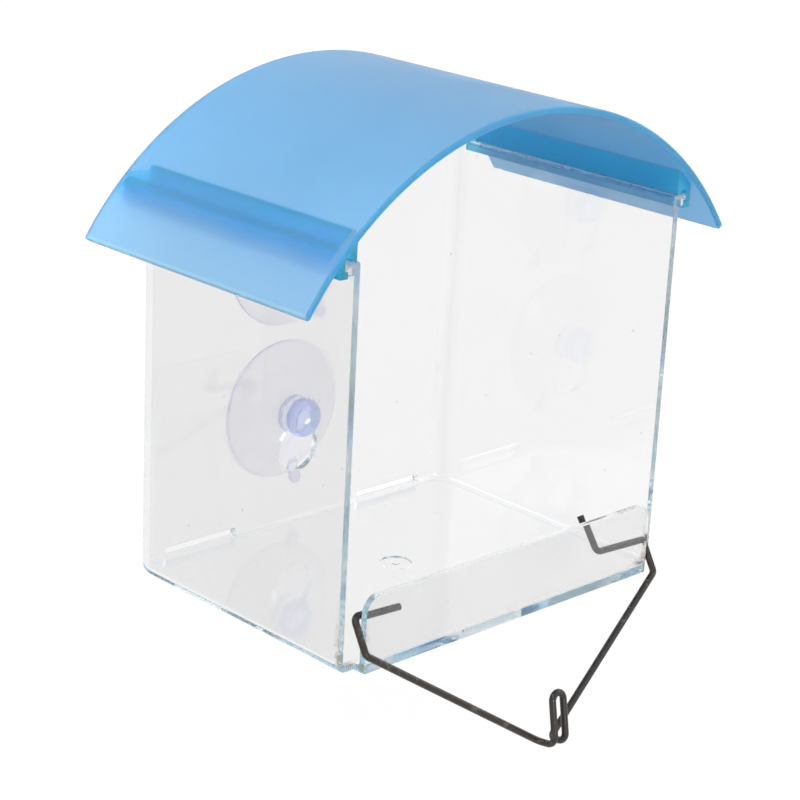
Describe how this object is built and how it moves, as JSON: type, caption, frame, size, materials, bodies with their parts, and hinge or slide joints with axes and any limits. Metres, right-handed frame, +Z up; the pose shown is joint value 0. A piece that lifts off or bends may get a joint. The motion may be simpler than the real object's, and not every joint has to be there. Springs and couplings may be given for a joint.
{
  "type": "window bird feeder",
  "caption": "Clear moulded tray feeder with an arched blue slide-on roof and a bent wire perch, hung on a window pane by suction cups in keyholes.",
  "frame": {"origin": "centre of the upper suction cup's rim, on the window pane", "axes": "+X across the feeder, +Y into the window pane, +Z up; the open front faces -Y"},
  "size_m": [0.1596, 0.1231, 0.174],
  "materials": {
    "clear_plastic": "clear polished moulding",
    "blue_plastic": "translucent blue, soft gloss",
    "coated_wire": "satin black coating",
    "clear_soft_plastic": "clear soft plastic with a blue tint"
  },
  "bodies": {
    "window_cups": {"upper_suction_cup": "clear_soft_plastic", "lower_suction_cup": "clear_soft_plastic"},
    "tray": {"clear_body": "clear_plastic"},
    "roof": {"roof": "blue_plastic"},
    "perch": {"wire_perch": "coated_wire"}
  },
  "joints": [
    {"name": "tray_lift", "type": "slide", "parent": "window_cups", "child": "tray", "axis": [0, 0, 1], "range_m": [0, 0.01]},
    {"name": "roof_slide", "type": "slide", "parent": "tray", "child": "roof", "axis": [0, -1, 0], "range_m": [0, 0.075]},
    {"name": "perch_swing", "type": "hinge", "parent": "tray", "child": "perch", "pos_m": [0, -0.09645, -0.0699], "axis": [-0.9984, 0, 0.0558], "range_deg": [-10, 104]}
  ]
}
